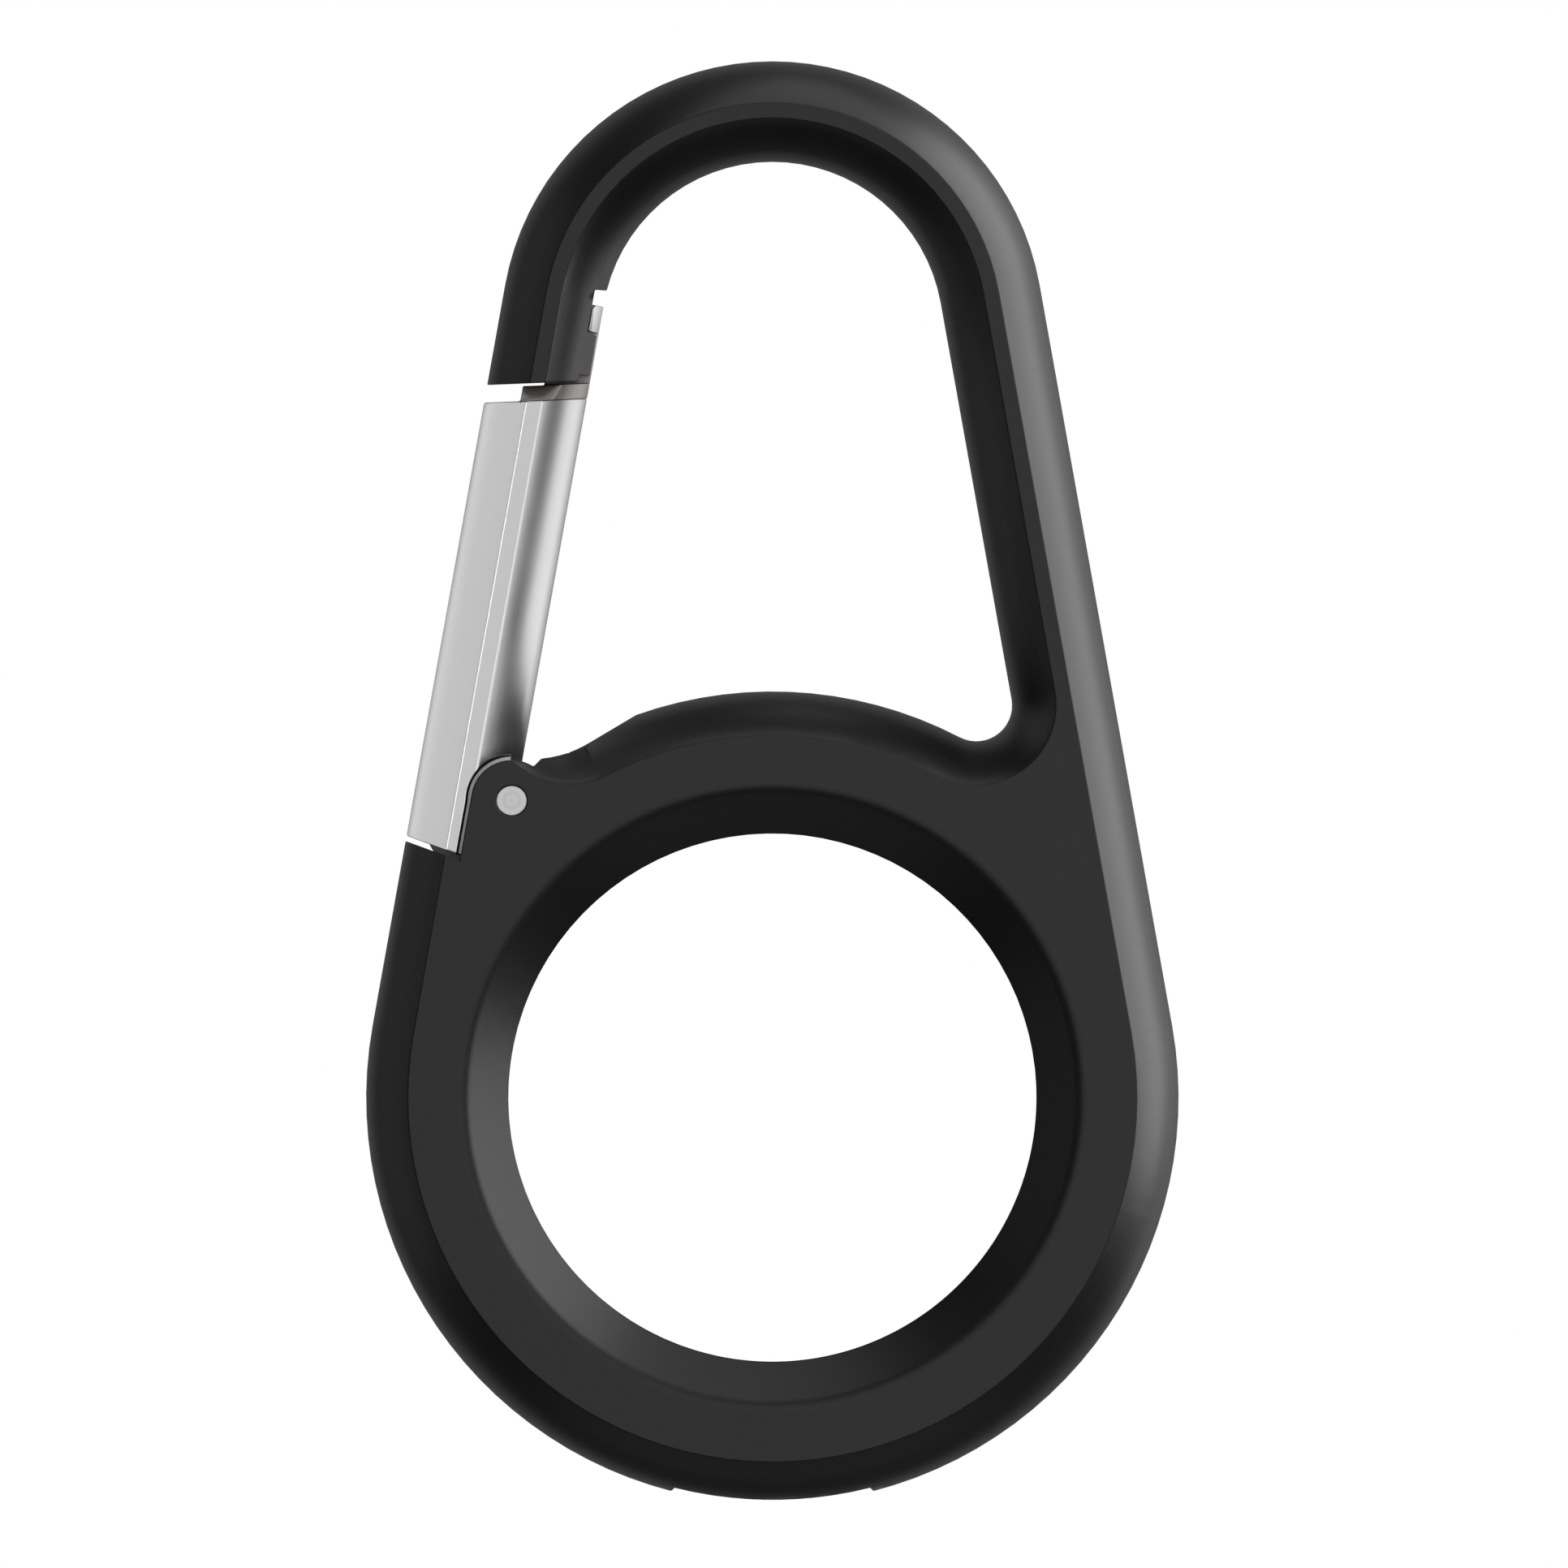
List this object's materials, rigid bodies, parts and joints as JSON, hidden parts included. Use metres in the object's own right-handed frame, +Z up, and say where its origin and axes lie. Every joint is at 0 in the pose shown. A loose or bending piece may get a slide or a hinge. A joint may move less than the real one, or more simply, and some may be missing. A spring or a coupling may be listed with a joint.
{
  "type": "carabiner keyring",
  "caption": "carabiner keyring: teardrop snap hook with a sprung gate and T-shaped latch, and a round windowed holder for a coin-shaped tag with a pull-off back cover",
  "frame": {"origin": "the centre of the bow, where a strap or ring hangs it", "axes": "+Z up along the long axis, from the tag holder to the bow; +X toward the spine, away from the gate; the front face looks toward -Y and the back cover toward +Y"},
  "size_m": [0.04, 0.012, 0.0709],
  "materials": {
    "frame": "matt black powder coat on die-cast zinc",
    "back_cover": "matt black powder coat on die-cast zinc",
    "grip_ring": "black silicone cord",
    "cushion": "dark grey foam",
    "gate_sleeve": "satin nickel",
    "gate_core": "satin sintered steel",
    "hinge_pin": "fine turned steel",
    "gate_spring": "drawn spring steel wire"
  },
  "bodies": {
    "hook": {"frame": "frame", "hinge_pin": "hinge_pin", "front_cushion": "cushion", "gate_spring": "gate_spring"},
    "gate": {"gate_sleeve": "gate_sleeve", "gate_core": "gate_core"},
    "cover": {"back_cover": "back_cover", "grip_ring": "grip_ring", "rear_cushion": "cushion"}
  },
  "joints": [
    {"name": "gate_swing", "type": "hinge", "parent": "hook", "child": "gate", "pos_m": [-0.01283, 0, -0.02303], "axis": [0, 1, 0], "range_deg": [0, 32], "stiffness_Nm_per_rad": 0.1, "springref_deg": -28.65},
    {"name": "cover_lift", "type": "slide", "parent": "hook", "child": "cover", "axis": [0, 1, 0], "range_m": [0, 0.02]}
  ]
}
